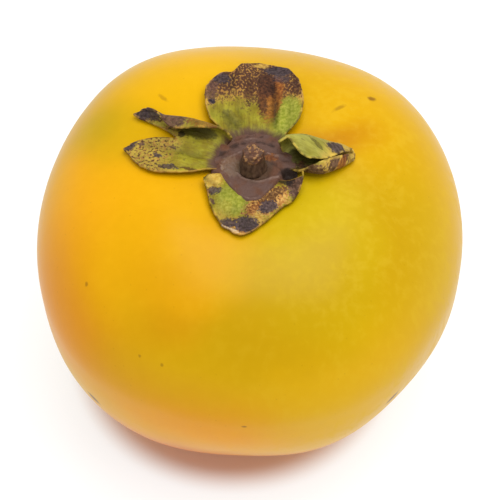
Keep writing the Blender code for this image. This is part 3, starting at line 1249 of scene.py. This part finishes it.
@dataclass(frozen=True)
class Sepal:
    """A sepal laid out flat about its own midline, then curled and laid over the crown.

    reach is the distance from the calyx's centre to the far edge, from the right side to the left.
    lift is the sheet's height over the skin, from base to far edge. Left is counter-clockwise.
    """

    name: str
    azimuth: float
    reach: tuple[float, ...]
    lift: tuple[float, ...]
    left: Side
    right: Side
    finish: SepalFinish
    fork: Fork | None = None
    folds: tuple[Fold, ...] = ()
    shape: SkinShape = SkinShape()
    centre: Place = CALYX_CENTRE
    thickness: float = 0.42
    rows: int = 56
    rows_under: int = 8
    columns: int = 60
    disc_radius: float = 7.1
    disc_back: float = 0.8
    disc_back_azimuth: float = 110.0
    disc_corners: float = 0.4
    disc_corner_azimuth: float = 50.0
    base_clearance: float = 0.7
    widest_base: float = 0.98
    tuck_in: float = 1.6
    tuck_down: float = 0.45
    crumple: float = 0.2
    vein_height: float = 0.07
    ragged: float = 0.3
    hem_height: float = 0.22
    hem_width: float = 0.5

    @property
    def first_row(self) -> float:
        """The row at the hidden end of the part that lies under the disc."""
        return -self.rows_under / (self.rows - self.rows_under)

    def row(self, vert: bmesh.types.BMVert) -> float:
        """The row that a point of the plain grid lies on."""
        return self.first_row + (1 - self.first_row) * (vert.co.x + 1) / 2

    def on_slit(self, vert: bmesh.types.BMVert) -> bool:
        """Whether a point of the plain grid lies where the sheet is slit, beyond its fork."""
        return abs(vert.co.y - self.fork.column) < SAME_PLACE and self.row(vert) > self.fork.row - SAME_PLACE

    def base_reach(self, across: float) -> float:
        """How far out the base lies along the midline, beside the disc.

        Args:
            across: How far the place is from the midline.

        Returns:
            The distance from the calyx's centre.
        """
        aside = 0.0
        for _ in range(5):
            azimuth = math.radians(self.azimuth) + aside
            back = self.disc_back * math.cos(azimuth - math.radians(self.disc_back_azimuth))
            corners = self.disc_corners * math.cos(4 * (azimuth - math.radians(self.disc_corner_azimuth)))
            edge = self.disc_radius + back + corners + self.base_clearance
            aside = math.asin(max(-self.widest_base, min(self.widest_base, across / edge)))
        return edge * math.cos(aside)

    def curled(self, across: float, row: float) -> Place:
        """Where a point of the flat sheet lies once its side is curled.

        Args:
            across: How far it is from the midline on the flat sheet.
            row: Its row, from 0 at the base to 1 at the far edge.

        Returns:
            The point, as (across, up).
        """
        side = self.left if across > 0 else self.right
        start, radius = along(side.flat, row), along(side.radius, row)
        beyond = abs(across) - start
        if beyond <= 0:
            return across, 0.0
        turned = min(beyond / radius, math.pi)
        straight = beyond - turned * radius
        sideways = start + radius * math.sin(turned) + straight * math.cos(turned)
        up = radius * (1 - math.cos(turned)) + straight * math.sin(turned)
        return (sideways if across > 0 else -sideways), up

    def spread(self, row: float, column: float) -> float:
        """How far a point lies from the midline on the flat sheet, positive to the left."""
        side = self.left if column > 0 else self.right
        return column * along(side.width, row)

    def opened(self, row: float, column: float, beyond_fork: int) -> float:
        """How far a point of a lobe beyond the fork has swung aside.

        Args:
            row: Its row.
            column: Its column.
            beyond_fork: 0, or the lobe that the point is on: 1 for the left, -1 for the right.

        Returns:
            The distance, positive to the left.
        """
        if not beyond_fork:
            return 0.0
        fork = self.fork
        opening, bend = (fork.left, fork.left_bend) if beyond_fork > 0 else (fork.right, fork.right_bend)
        swung = opening * max((row - fork.row) / (1 - fork.row), 0.0) ** bend
        return beyond_fork * swung * (beyond_fork - column) / (beyond_fork - fork.column)

    def torn(self, x: float, y: float, z: float) -> float:
        """How far the margin is torn at a place."""
        return self.ragged * (roughly(x, y, z, 1.0) + 0.5 * roughly(x, y, z, 0.4))

    def relief(self, across: float, out: float) -> float:
        """The height of the folds, veins and crumples over the plain sheet.

        Args:
            across: How far the place is from the midline on the flat sheet.
            out: How far it is from the calyx's centre.

        Returns:
            The height.
        """
        seed = self.azimuth
        veins = self.vein_height * roughly(across * 1.6, out * 0.2, seed, 1.0)
        crumples = roughly(across, out, seed, 3.2) + 0.4 * roughly(across, out, seed, 1.2)
        return sum(fold.at(across, out) for fold in self.folds) + veins + self.crumple * crumples

    def place(self, row: float, column: float, beyond_fork: int) -> tuple[Vector, Vector, float]:
        """Where a point of the sheet lies.

        Args:
            row: From 0 at the base to 1 at the far edge; what lies under the disc is below 0.
            column: From -1 at the right margin to 1 at the left one.
            beyond_fork: 0, or the lobe that the point is on: 1 for the left, -1 for the right.

        Returns:
            The place in the shared frame, the place (across, out, 0) on the flat sheet, and the relief.
        """
        seed, on_sheet = self.azimuth, max(row, 0.0)
        across = self.spread(on_sheet, column)
        inside = abs(self.spread(on_sheet, 1.0 if column > 0 else -1.0)) - abs(across)
        across += math.copysign(self.torn(column * 3, row * 16, seed) * abs(column) ** 6, column)
        across += self.opened(row, column, beyond_fork)
        sideways, up = self.curled(across, on_sheet)
        base = self.base_reach(self.curled(self.spread(0, column), 0)[0])
        far = along(self.reach, (column + 1) / 2) + self.torn(column * 8, seed, 0.0)
        out = base + on_sheet * (far - base)
        inside = min(inside, far - out)
        tucked = min(row, 0.0) / self.first_row
        shrink = 1 - self.tuck_in * tucked / max(math.hypot(base, sideways), 1.0)
        out, sideways = out * shrink, sideways * shrink
        turn = math.radians(self.azimuth)
        x = self.centre[0] + out * math.cos(turn) - sideways * math.sin(turn)
        y = self.centre[1] + out * math.sin(turn) + sideways * math.cos(turn)
        hem = self.hem_height * math.exp(-((inside / self.hem_width) ** 2))
        hem *= 0.6 + roughly(across, out, seed + 5, 1.6)
        relief = (self.relief(across, out) + hem) * ease(row, -0.02, 0.12)
        sunk = self.tuck_down * (1 - ease(row, -0.16, 0.04)) * (1 - ease(up, 0.3, 1.5))
        height = along(self.lift, on_sheet) + up + relief - sunk
        return self.shape.over_crown(x, y, height), Vector((across, out, 0)), relief

    def build(self) -> bpy.types.Object:
        """Builds and dresses the sepal: a grid split at its fork, curled and thickened.

        Returns:
            The finished piece.
        """
        mould = Mould(f"{self.name}_fine", slot=self.name, replaces=self.name)
        bm = mould.bm
        bmesh.ops.create_grid(bm, x_segments=self.rows, y_segments=self.columns, size=1.0)
        if self.fork:
            bmesh.ops.split_edges(bm, edges=[edge for edge in bm.edges if all(map(self.on_slit, edge.verts))])
        leaf, ridge, places = {}, {}, {}
        for vert in bm.verts:
            row, column, beyond_fork = self.row(vert), vert.co.y, 0
            if self.fork and row > self.fork.row + SAME_PLACE:
                middle = sum(face.calc_center_median().y for face in vert.link_faces) / len(vert.link_faces)
                beyond_fork = 1 if middle > self.fork.column else -1
            places[vert], leaf[vert], ridge[vert] = self.place(row, column, beyond_fork)
        for vert, place in places.items():
            vert.co = place
        mould.vectors["leaf"] = leaf
        mould.floats["ridge"] = ridge
        mould.floats["margin"] = self.margins(bm, leaf)
        obj = mould.finish(self.finish.material(self.name))
        solid = obj.modifiers.new("Thickness", "SOLIDIFY")
        solid.thickness = self.thickness * MM
        solid.offset = 0.0
        rounded = obj.modifiers.new("Rounding", "SUBSURF")
        rounded.levels = rounded.render_levels = 1
        return obj

    @staticmethod
    def margins(bm: bmesh.types.BMesh, leaf: dict) -> dict:
        """Each point's distance from the sheet's outline, measured on the flat sheet."""
        outline = [leaf[vert] for vert in bm.verts if vert.is_boundary and leaf[vert].y > 0]
        return {vert: min((leaf[vert] - point).length for point in outline) for vert in bm.verts}


def back_sepal() -> Sepal:
    """The broad sepal at the back, three-lobed, scorched rust and slate over its outer half."""
    return Sepal(
        name="sepal_back",
        azimuth=90,
        reach=(19.9, 22.9, 24.5, 24.8, 25.1, 25.4, 25.5, 25.3, 24.7, 21.9, 21.6, 20.2, 18.0),
        lift=(1.7, 1.2, 1.0, 0.9, 0.8, 0.8),
        left=Side(width=(5.4, 7.8, 8.6, 8.8, 8.7, 8.0), flat=(3.0, 4.0), radius=(12.0, 14.0)),
        right=Side(width=(5.6, 8.0, 8.7, 8.7, 8.4, 8.2), flat=(4.0, 4.5), radius=(7.0, 14.0)),
        folds=(
            Fold(((-3.4, 18.0), (-3.7, 13.0), (-3.6, 7.5)), width=0.6, height=-0.45),
            Fold(((-5.2, 12.5), (-5.0, 8.0)), width=0.8, height=0.3),
            Fold(((5.2, 11.0), (3.2, 8.4)), width=0.5, height=-0.3),
            Fold(((3.2, 12.0), (1.8, 8.6)), width=0.5, height=-0.25),
            Fold(((3.6, 20.5), (4.2, 17.0)), width=0.5, height=-0.2),
        ),
        finish=SepalFinish(
            straw_from=12.5,
            straw_to=16.0,
            speck_share=1.0,
            marks_and_painted_light=(
                Blotch(Stain.LIME, (-5.9, 10.4), (2.6, 4.4), turn=6, strength=0.85, grain=0.3),
                Blotch(Stain.MOSS, (4.2, 9.6), (1.6, 2.4), turn=-32, strength=0.6, grain=0.3),
                Blotch(Stain.STRAW, (-1.3, 24.2), (1.6, 0.8), turn=-4, strength=0.8, grain=0.5),
                Blotch(Stain.RUST, (-3.0, 15.2), (2.3, 5.4), turn=6, strength=0.85, grain=0.4),
                Blotch(Stain.UMBER, (-2.3, 18.2), (1.8, 3.6), strength=0.95, grain=0.45),
                Blotch(Stain.UMBER, (-1.3, 13.8), (0.9, 2.6), turn=-10, strength=0.75, grain=0.6),
                Blotch(Stain.UMBER, (-1.5, 11.0), (0.7, 0.8), strength=0.5, grain=0.6),
                Blotch(Stain.UMBER, (0.9, 16.4), (0.8, 3.8), turn=2, strength=0.7, grain=1.3),
                Blotch(Stain.SLATE, (-4.9, 22.8), (3.2, 2.0), turn=-12, strength=0.95, grain=0.4),
                Blotch(Stain.SLATE, (-5.0, 20.0), (1.6, 1.6), turn=-8, strength=0.75, grain=0.6),
                Blotch(Stain.PLUM, (8.0, 16.0), (1.4, 3.8), strength=0.85, grain=0.9),
                Blotch(Stain.SLATE, (6.2, 19.2), (1.9, 1.6), turn=-24, strength=0.9, grain=0.6),
                Blotch(Stain.SLATE, (7.6, 12.9), (0.5, 0.65), grain=0.4),
                Blotch(Stain.UMBER, (-7.8, 17.4), (1.1, 2.8), strength=0.75, grain=1.2),
            ),
        ),
    )


def left_sepal() -> Sepal:
    """The long sepal at the left, forked, with its far margin rolled over."""
    return Sepal(
        name="sepal_left",
        azimuth=164,
        reach=(21.6, 22.8, 23.6, 25.2, 24.2, 23.8, 25.2, 25.2, 25.0, 24.9, 24.9, 25.0, 25.0),
        lift=(1.7, 1.2, 1.0, 0.9, 0.8, 0.8),
        left=Side(width=(2.6, 4.5, 5.5, 5.6, 4.2, 1.7), flat=(3.0, 3.0), radius=(20.0, 20.0)),
        right=Side(
            width=(6.6, 8.5, 9.3, 9.0, 8.4, 7.6),
            flat=(3.3, 3.6, 3.7, 3.7, 5.0, 5.9),
            radius=(1.7, 1.6, 1.5, 1.3, 1.1, 0.8),
        ),
        fork=Fork(row=20 / 48, column=-0.2, left=1.9, right=3.8, left_bend=2.2, right_bend=0.8),
        folds=(
            Fold(((0.6, 20.0), (0.8, 10.0)), width=0.8, height=-0.2),
            Fold(((3.2, 17.0), (2.4, 10.5)), width=0.8, height=0.15),
        ),
        finish=SepalFinish(
            straw=lit(206, 176, 68),
            straw_from=13.0,
            straw_to=18.5,
            speck_share=0.38,
            marks_and_painted_light=(
                # Painted shade inside the rolled margin: a dark patch and a near-black spot.
                Blotch(Stain.SHADE, (-4.2, 12.0), (1.6, 3.6), strength=0.7, grain=0.2),
                Blotch(Stain.PAINTED_DEEP_SHADE, (-2.8, 14.0), (0.6, 0.6), strength=0.8, grain=0.3),
                Blotch(Stain.SLATE, (0.2, 24.2), (2.0, 1.9), turn=10, strength=0.95, grain=0.35),
                Blotch(Stain.PLUM, (0.3, 21.3), (0.4, 0.8), strength=0.85, grain=0.6),
                Blotch(Stain.SLATE, (2.4, 17.2), (0.5, 1.1), turn=10, strength=0.9, grain=0.45),
                Blotch(Stain.SLATE, (4.3, 14.6), (0.6, 1.9), strength=0.85, grain=0.7),
                Blotch(Stain.PLUM, (0.1, 15.0), (0.3, 0.7), strength=0.75, grain=0.6),
                Blotch(Stain.UMBER, (4.3, 10.0), (0.55, 2.4), turn=10, strength=0.8, grain=0.4),
                Blotch(Stain.PLUM, (-7.6, 15.8), (2.0, 2.4), strength=0.9, grain=0.6),
                Blotch(Stain.RUST, (-7.4, 11.0), (1.6, 2.4), strength=0.6, grain=0.9),
                Blotch(Stain.SLATE, (-6.2, 23.2), (2.8, 2.4), strength=0.95, grain=0.35),
                Blotch(Stain.SLATE, (-6.6, 19.8), (1.9, 2.2), strength=0.9, grain=0.6),
                Blotch(Stain.LEMON, (-4.2, 19.4), (0.55, 3.0), turn=-4, strength=0.95, grain=0.3),
            ),
        ),
    )


def front_sepal() -> Sepal:
    """The short, broad sepal at the front, lying on the fruit, with a slate tip and a tan band."""
    return Sepal(
        name="sepal_front",
        azimuth=262,
        reach=(4.2, 9.3, 12.6, 14.0, 14.5, 12.1, 8.6, 5.4, 1.2),
        lift=(1.7, 1.4, 1.0, 0.8),
        left=Side(width=(6.4, 9.6, 11.2), flat=(5.5, 7.0), radius=(4.0, 2.4)),
        right=Side(width=(6.4, 8.4, 8.9), flat=(3.0, 3.0), radius=(25.0, 25.0)),
        base_clearance=0.0,
        tuck_in=3.2,
        tuck_down=0.3,
        folds=(
            Fold(((-8.6, 3.0), (-6.2, 4.8)), width=0.28, height=0.22),
            Fold(((-8.6, 4.0), (-6.4, 5.6)), width=0.28, height=-0.2),
            Fold(((-8.2, 5.2), (-6.2, 6.4)), width=0.28, height=0.18),
            Fold(((-0.4, 8.0), (0.2, 13.0)), width=0.7, height=-0.25),
            Fold(((3.4, 8.6), (6.4, 5.8)), width=0.7, height=0.2),
        ),
        finish=SepalFinish(
            straw_from=11.0,
            straw_to=14.5,
            plum_to=5.2,
            speck_from=9.0,
            speck_to=13.0,
            speck_share=0.5,
            marks_and_painted_light=(
                Blotch(Stain.LIME, (-2.4, 7.4), (3.4, 3.4), strength=0.75, grain=0.3),
                Blotch(Stain.STRAW, (-7.2, 4.2), (1.6, 2.4), strength=0.75, grain=0.9),
                Blotch(Stain.LEMON, (-4.6, 10.2), (1.8, 2.2), turn=20, strength=0.4, grain=0.8),
                Blotch(Stain.SLATE, (-6.6, 6.4), (1.2, 0.8), turn=-10, strength=0.9, grain=0.5),
                Blotch(Stain.PLUM, (-7.6, 7.2), (0.5, 0.9), turn=-10, strength=0.9, grain=0.6),
                Blotch(Stain.PLUM, (-6.5, 8.6), (0.3, 0.7), turn=-30, strength=0.85, grain=0.6),
                Blotch(Stain.TAN, (3.4, 7.3), (5.2, 2.3), turn=-43, strength=0.95, grain=0.6),
                Blotch(Stain.UMBER, (3.8, 6.4), (4.4, 1.0), turn=-43, strength=0.8, grain=1.9),
                Blotch(Stain.RUST, (1.0, 9.4), (1.8, 0.8), turn=-43, strength=0.5, grain=1.2),
                Blotch(Stain.STRAW, (2.3, 10.4), (0.8, 1.1), turn=-30, strength=0.8, grain=0.5),
                Blotch(Stain.PLUM, (9.0, 3.6), (2.2, 4.2), turn=-28, strength=0.95, grain=0.5),
                # Painted shade: a near-black patch in the cupped corner of the base.
                Blotch(Stain.PAINTED_DEEP_SHADE, (7.0, 2.2), (1.3, 1.3), strength=0.85, grain=0.2),
                Blotch(Stain.SLATE, (3.7, 8.3), (2.0, 1.1), turn=-32, strength=0.95, grain=0.5),
                Blotch(Stain.SLATE, (0.4, 12.5), (2.3, 1.9), turn=-8, strength=0.95, grain=0.45),
                Blotch(Stain.SLATE, (-2.9, 12.5), (1.6, 0.9), turn=10, strength=0.9, grain=0.5),
                Blotch(Stain.TAN, (-0.1, 14.5), (0.8, 0.6), strength=0.6, grain=0.8),
                Blotch(Stain.BONE, (-2.6, 13.7), (2.0, 0.35), turn=19, strength=0.9, grain=0.4),
            ),
        ),
    )


def right_sepal() -> Sepal:
    """The narrow sepal at the right, both margins rolled in to make a boat."""
    return Sepal(
        name="sepal_right",
        azimuth=9,
        reach=(16.6, 18.4, 17.0),
        lift=(1.7, 1.2, 1.0, 0.9, 0.8, 0.8),
        left=Side(
            width=(8.0, 12.0, 10.6, 7.7, 5.4, 2.6),
            flat=(1.8, 2.2, 1.2, 0.4, 0.3, 0.1),
            radius=(2.4, 2.0, 1.9, 1.6, 1.3, 0.8),
        ),
        right=Side(
            width=(1.6, 3.8, 6.4, 6.3, 4.8, 2.4),
            flat=(1.2, 1.4, 1.9, 1.7, 1.1, 0.2),
            radius=(1.8, 1.4, 1.8, 1.6, 1.2, 0.8),
        ),
        finish=SepalFinish(
            green=lit(170, 160, 54),
            bright=lit(196, 190, 84),
            straw=lit(220, 184, 78),
            rim=lit(226, 190, 80),
            straw_from=13.0,
            straw_to=16.5,
            plum_to=7.2,
            speck_share=0.1,
            marks_and_painted_light=(
                Blotch(Stain.SHADE, (0.8, 9.5), (2.4, 4.0), strength=0.8, grain=0.2),
                Blotch(Stain.SLATE, (4.9, 14.8), (1.2, 1.9), turn=16, strength=0.95, grain=0.5),
                Blotch(Stain.MOSS, (7.0, 11.6), (0.5, 0.9), turn=-20, strength=0.8, grain=0.8),
                Blotch(Stain.MOSS, (5.4, 10.0), (1.2, 0.8), turn=-20, strength=0.5, grain=1.4),
                Blotch(Stain.STRAW, (-4.0, 12.6), (2.4, 5.0), strength=0.85, grain=0.4),
                Blotch(Stain.PLUM, (-4.4, 10.4), (2.0, 1.7), strength=0.9, grain=0.7),
                Blotch(Stain.UMBER, (-2.4, 8.4), (2.4, 1.4), strength=0.85, grain=0.6),
                Blotch(Stain.PLUM, (-4.8, 13.8), (1.4, 1.2), strength=0.9, grain=1.2),
                Blotch(Stain.PLUM, (-3.8, 16.2), (1.8, 1.0), strength=0.8, grain=0.8),
                Blotch(Stain.RUST, (-2.9, 14.9), (1.1, 1.1), strength=0.85, grain=0.5),
            ),
        ),
    )


# ------------------------------------------------------------
# The studio
# ------------------------------------------------------------


@dataclass(frozen=True)
class Studio:
    """A plain pale floor, a soft light high at the right and a camera that looks down on the fruit.

    The floor glows a little of itself, but not under the fruit: there a painted shadow is laid, where the
    glow is cut and the floor is darker and warmer, tinted like the fruit's bounce light.
    """

    target: Vector = Vector((0, 0, 37))
    elevation: float = 57.0
    distance: float = 550.0
    drop: float = 1.03
    lens: float = 215.8
    sensor_width: float = 36.0
    clip: tuple[float, float] = (0.01, 20.0)  # in metres
    floor_size: float = 8000.0
    floor_colour: Colour = tint(150, 149, 147)
    # Painted shadow under the fruit: its warm colour, then its centre, its sizes and its soft edge.
    painted_shadow_colour: Colour = tint(232, 202, 182)
    floor_light: Colour = tint(252, 252, 252)
    floor_glow: float = 0.74
    foot: Vector = Vector((-3, -1, 0))
    painted_shadow_sizes: tuple[float, float, float] = (32.0, 31.0, 31.0)
    painted_shadow_edge: Place = (0.8, 1.02)
    sky: float = 0.72
    backdrop: float = 1.0
    softbox_elevation: float = 79.0
    softbox_distance: float = 1100.0
    softbox_size: float = 920.0
    softbox_watts: float = 13.6

    def camera(self) -> None:
        """Sets the camera up."""
        above = math.radians(self.elevation)
        back = Vector((0, -math.cos(above), math.sin(above)))
        up = Vector((0, math.sin(above), math.cos(above)))
        camera = bpy.data.objects.new("camera", bpy.data.cameras.new("camera"))
        camera.data.lens = self.lens
        camera.data.sensor_width = self.sensor_width
        camera.data.clip_start, camera.data.clip_end = self.clip
        camera.location = (self.target + back * self.distance - up * self.drop) * MM
        camera.rotation_euler = (math.radians(90 - self.elevation), 0, 0)
        bpy.context.scene.collection.objects.link(camera)
        bpy.context.scene.camera = camera

    def lights(self) -> None:
        """Sets the sky, the white backdrop that only the camera sees, and the softbox up."""
        world = bpy.data.worlds.new("studio")
        world.use_nodes = True
        tree = world.node_tree
        sky = tree.nodes["Background"]
        backdrop = tree.nodes.new("ShaderNodeBackground")
        for shader, strength in ((sky, self.sky), (backdrop, self.backdrop)):
            shader.inputs["Color"].default_value = (1.0, 1.0, 1.0, 1.0)
            shader.inputs["Strength"].default_value = strength
        seen = tree.nodes.new("ShaderNodeMixShader")
        tree.links.new(tree.nodes.new("ShaderNodeLightPath").outputs["Is Camera Ray"], seen.inputs[0])
        tree.links.new(sky.outputs[0], seen.inputs[1])
        tree.links.new(backdrop.outputs[0], seen.inputs[2])
        tree.links.new(seen.outputs[0], tree.nodes["World Output"].inputs["Surface"])
        bpy.context.scene.world = world
        light = bpy.data.lights.new("softbox", "AREA")
        light.size = self.softbox_size * MM
        light.energy = self.softbox_watts
        softbox = bpy.data.objects.new("softbox", light)
        away = direction(0, self.softbox_elevation)
        softbox.location = (self.target + away * self.softbox_distance) * MM
        softbox.rotation_euler = away.to_track_quat("Z", "Y").to_euler()
        bpy.context.scene.collection.objects.link(softbox)

    def floor(self) -> None:
        """Lays the floor, with a painted shadow under the fruit."""
        bm = bmesh.new()
        bmesh.ops.create_grid(bm, x_segments=1, y_segments=1, size=self.floor_size * MM / 2)
        mesh = bpy.data.meshes.new("floor")
        bm.to_mesh(mesh)
        bm.free()
        floor = bpy.data.objects.new("floor", mesh)
        graph = Graph("floor")
        # Painted shadow: under the fruit the glow is cut and the floor takes a warmer, darker colour.
        away = graph.length(graph.placed(graph.objects_own(), self.foot, self.painted_shadow_sizes, (0, 0, 0)))
        outside_painted_shadow = away.step(*self.painted_shadow_edge)
        colour = graph.mix(outside_painted_shadow, self.painted_shadow_colour, self.floor_colour)
        glow = graph.mix(outside_painted_shadow, tint(0, 0, 0), self.floor_light)
        floor.data.materials.append(
            graph.shade(
                {"Base Color": colour, "Emission Color": glow},
                {"Roughness": 0.9, "Emission Strength": self.floor_glow},
            )
        )
        bpy.context.scene.collection.objects.link(floor)

    def build(self) -> None:
        """Sets the whole studio up, with colours shown as they are."""
        self.camera()
        self.lights()
        self.floor()
        bpy.context.scene.view_settings.view_transform = "Standard"


def main() -> None:
    """Clears the scene, loads the frame, and builds every piece and the studio."""
    logging.basicConfig(level=logging.INFO, format="%(name)s: %(message)s")
    for obj in list(bpy.data.objects):
        bpy.data.objects.remove(obj, do_unlink=True)
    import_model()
    Studio().build()
    stub_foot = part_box("stem_stub")[0].z / MM
    sepals = (back_sepal(), left_sepal(), front_sepal(), right_sepal())
    for part in (Fruit(), Disc(stub_foot), Stub(stub_foot), *sepals):
        report(part.build())


if __name__ == "__main__":
    main()
